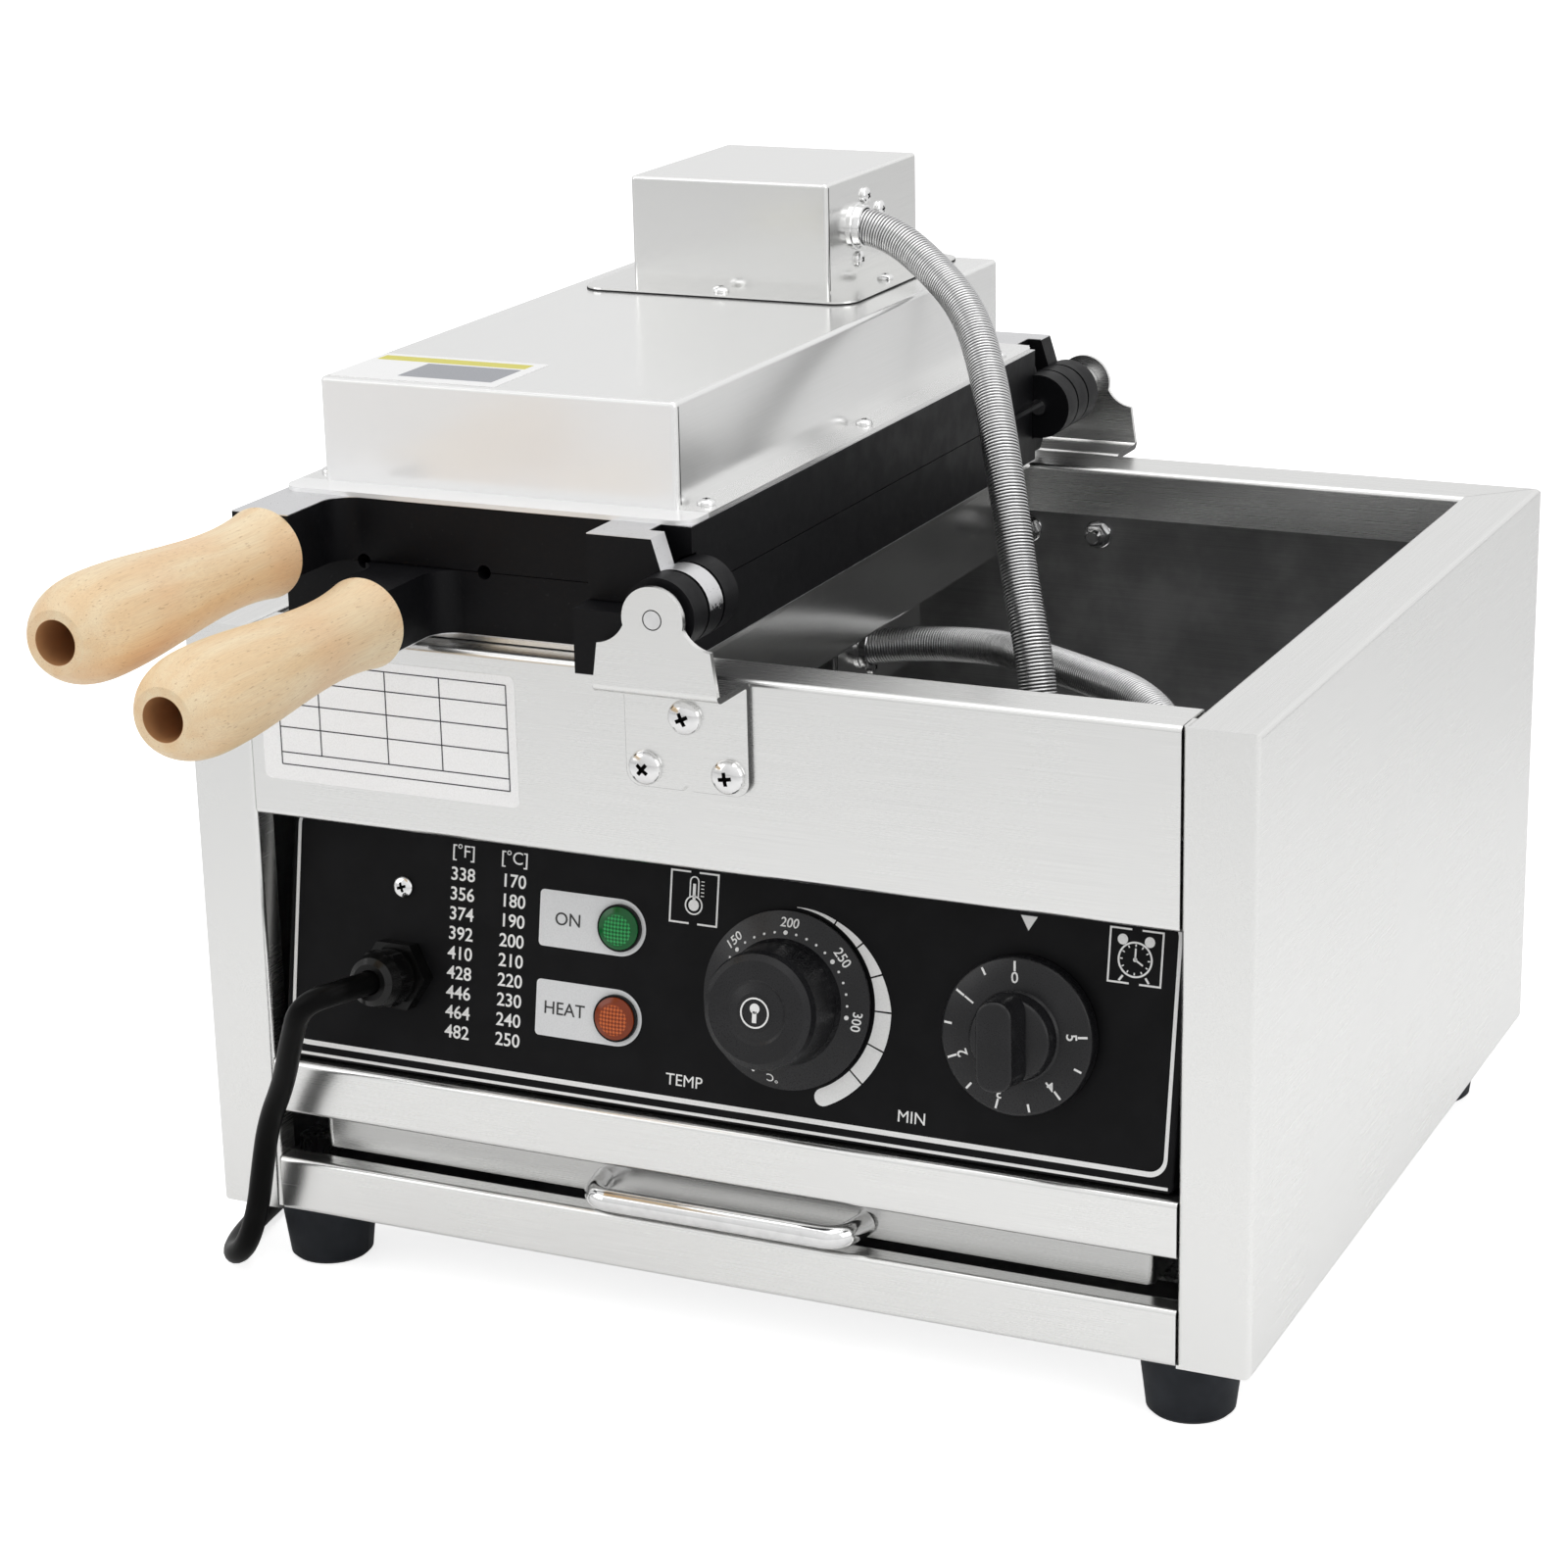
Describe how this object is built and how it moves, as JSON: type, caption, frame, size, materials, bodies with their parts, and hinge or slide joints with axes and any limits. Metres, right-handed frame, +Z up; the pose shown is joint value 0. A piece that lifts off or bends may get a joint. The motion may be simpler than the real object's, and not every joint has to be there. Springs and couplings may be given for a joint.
{
  "type": "waffle cone maker",
  "caption": "Countertop cone baker: open steel housing with two hinged heated mould plates, wooden grips, flexible conduits, thermostat, timer and drip tray.",
  "frame": {"origin": "centre of the bounding box at the worktop, measured without the power cord", "axes": "+X to the machine's right, +Y to its back, +Z up; the grips point to -Y"},
  "size_m": [0.3928, 0.6185, 0.3555],
  "materials": {
    "stainless": "satin brushed stainless sheet",
    "bright_steel": "bright plated",
    "casting_black": "black coated casting, machined on the parting face",
    "panel_black": "black printed film on steel",
    "knob_black": "satin black moulding",
    "lens_green": "clear green moulding",
    "lens_amber": "clear amber moulding",
    "bezel_black": "black moulding",
    "grip_wood": "turned and lacquered",
    "rubber_black": "plain",
    "cord_black": "smooth jacket",
    "gland_plastic": "moulded",
    "conduit_steel": "wound strip",
    "mineral_fibre": "pressed fibre pad",
    "terminal_plastic": "moulded",
    "thermostat_case": "plain",
    "zinc_steel": "zinc plated"
  },
  "bodies": {
    "housing": {"right_side_panel": "stainless", "left_side_panel": "stainless", "front_apron": "stainless", "rear_panel": "stainless", "base_plate": "stainless", "bulkhead": "stainless", "trim_strip": "stainless", "bottom_rail": "stainless", "tray_runners": "zinc_steel", "control_panel": "panel_black", "panel_screw": "bright_steel", "green_lens": "lens_green", "amber_lens": "lens_amber", "lamp_holders": "bezel_black", "thermostat_body": "thermostat_case", "timer_body": "zinc_steel", "cable_gland": "gland_plastic", "gland_locknut": "gland_plastic", "terminal_block": "terminal_plastic", "hinge_brackets": "stainless", "bracket_screws": "bright_steel", "bracket_nuts": "bright_steel", "front_hinge_pin": "bright_steel", "rear_hinge_pin": "bright_steel", "rear_spacer": "bright_steel", "bulkhead_fittings": "bright_steel", "feet": "rubber_black", "foot_screws": "zinc_steel", "power_cord": "cord_black", "cord_coil": "cord_black", "plug": "cord_black", "upper_conduit": "conduit_steel", "lower_conduit": "conduit_steel"},
    "lower_plate": {"lower_casting": "casting_black", "lower_heater": "zinc_steel", "lower_insulation": "mineral_fibre", "lower_cover": "stainless", "lower_cover_screws": "bright_steel", "lower_terminal_box": "stainless", "lower_box_screws": "bright_steel", "lower_conduit_fitting": "bright_steel", "lower_grip": "grip_wood", "lower_handle_bolt": "zinc_steel"},
    "upper_plate": {"upper_casting": "casting_black", "upper_heater": "zinc_steel", "upper_insulation": "mineral_fibre", "upper_cover": "stainless", "upper_cover_screws": "bright_steel", "upper_terminal_box": "stainless", "upper_box_screws": "bright_steel", "upper_conduit_fitting": "bright_steel", "upper_grip": "grip_wood", "upper_handle_bolt": "zinc_steel"},
    "thermostat_dial": {"thermostat_knob": "knob_black", "thermostat_shaft": "bright_steel"},
    "timer_dial": {"timer_knob": "knob_black", "timer_shaft": "bright_steel"},
    "tray": {"drip_tray": "stainless", "tray_handle": "bright_steel", "tray_handle_screws": "bright_steel"}
  },
  "joints": [
    {"name": "turn_plates", "type": "hinge", "parent": "housing", "child": "lower_plate", "pos_m": [0, 0.055, 0.2579], "axis": [0, 1, 0], "range_deg": [0, 180], "deforming": ["lower_conduit", "upper_conduit"]},
    {"name": "open_upper_plate", "type": "hinge", "parent": "lower_plate", "child": "upper_plate", "pos_m": [0, 0.055, 0.2579], "axis": [0, 1, 0], "range_deg": [0, 180], "deforming": ["upper_conduit"]},
    {"name": "turn_thermostat", "type": "hinge", "parent": "housing", "child": "thermostat_dial", "pos_m": [0.0273, -0.10083, 0.12537], "axis": [0, -0.9846, 0.1749], "range_deg": [-180, 90]},
    {"name": "wind_timer", "type": "hinge", "parent": "housing", "child": "timer_dial", "pos_m": [0.108, -0.10083, 0.12537], "axis": [0, 0.9846, -0.1749], "range_deg": [0, 265]},
    {"name": "pull_tray", "type": "slide", "parent": "housing", "child": "tray", "axis": [0, -1, 0], "range_m": [0, 0.26]}
  ]
}
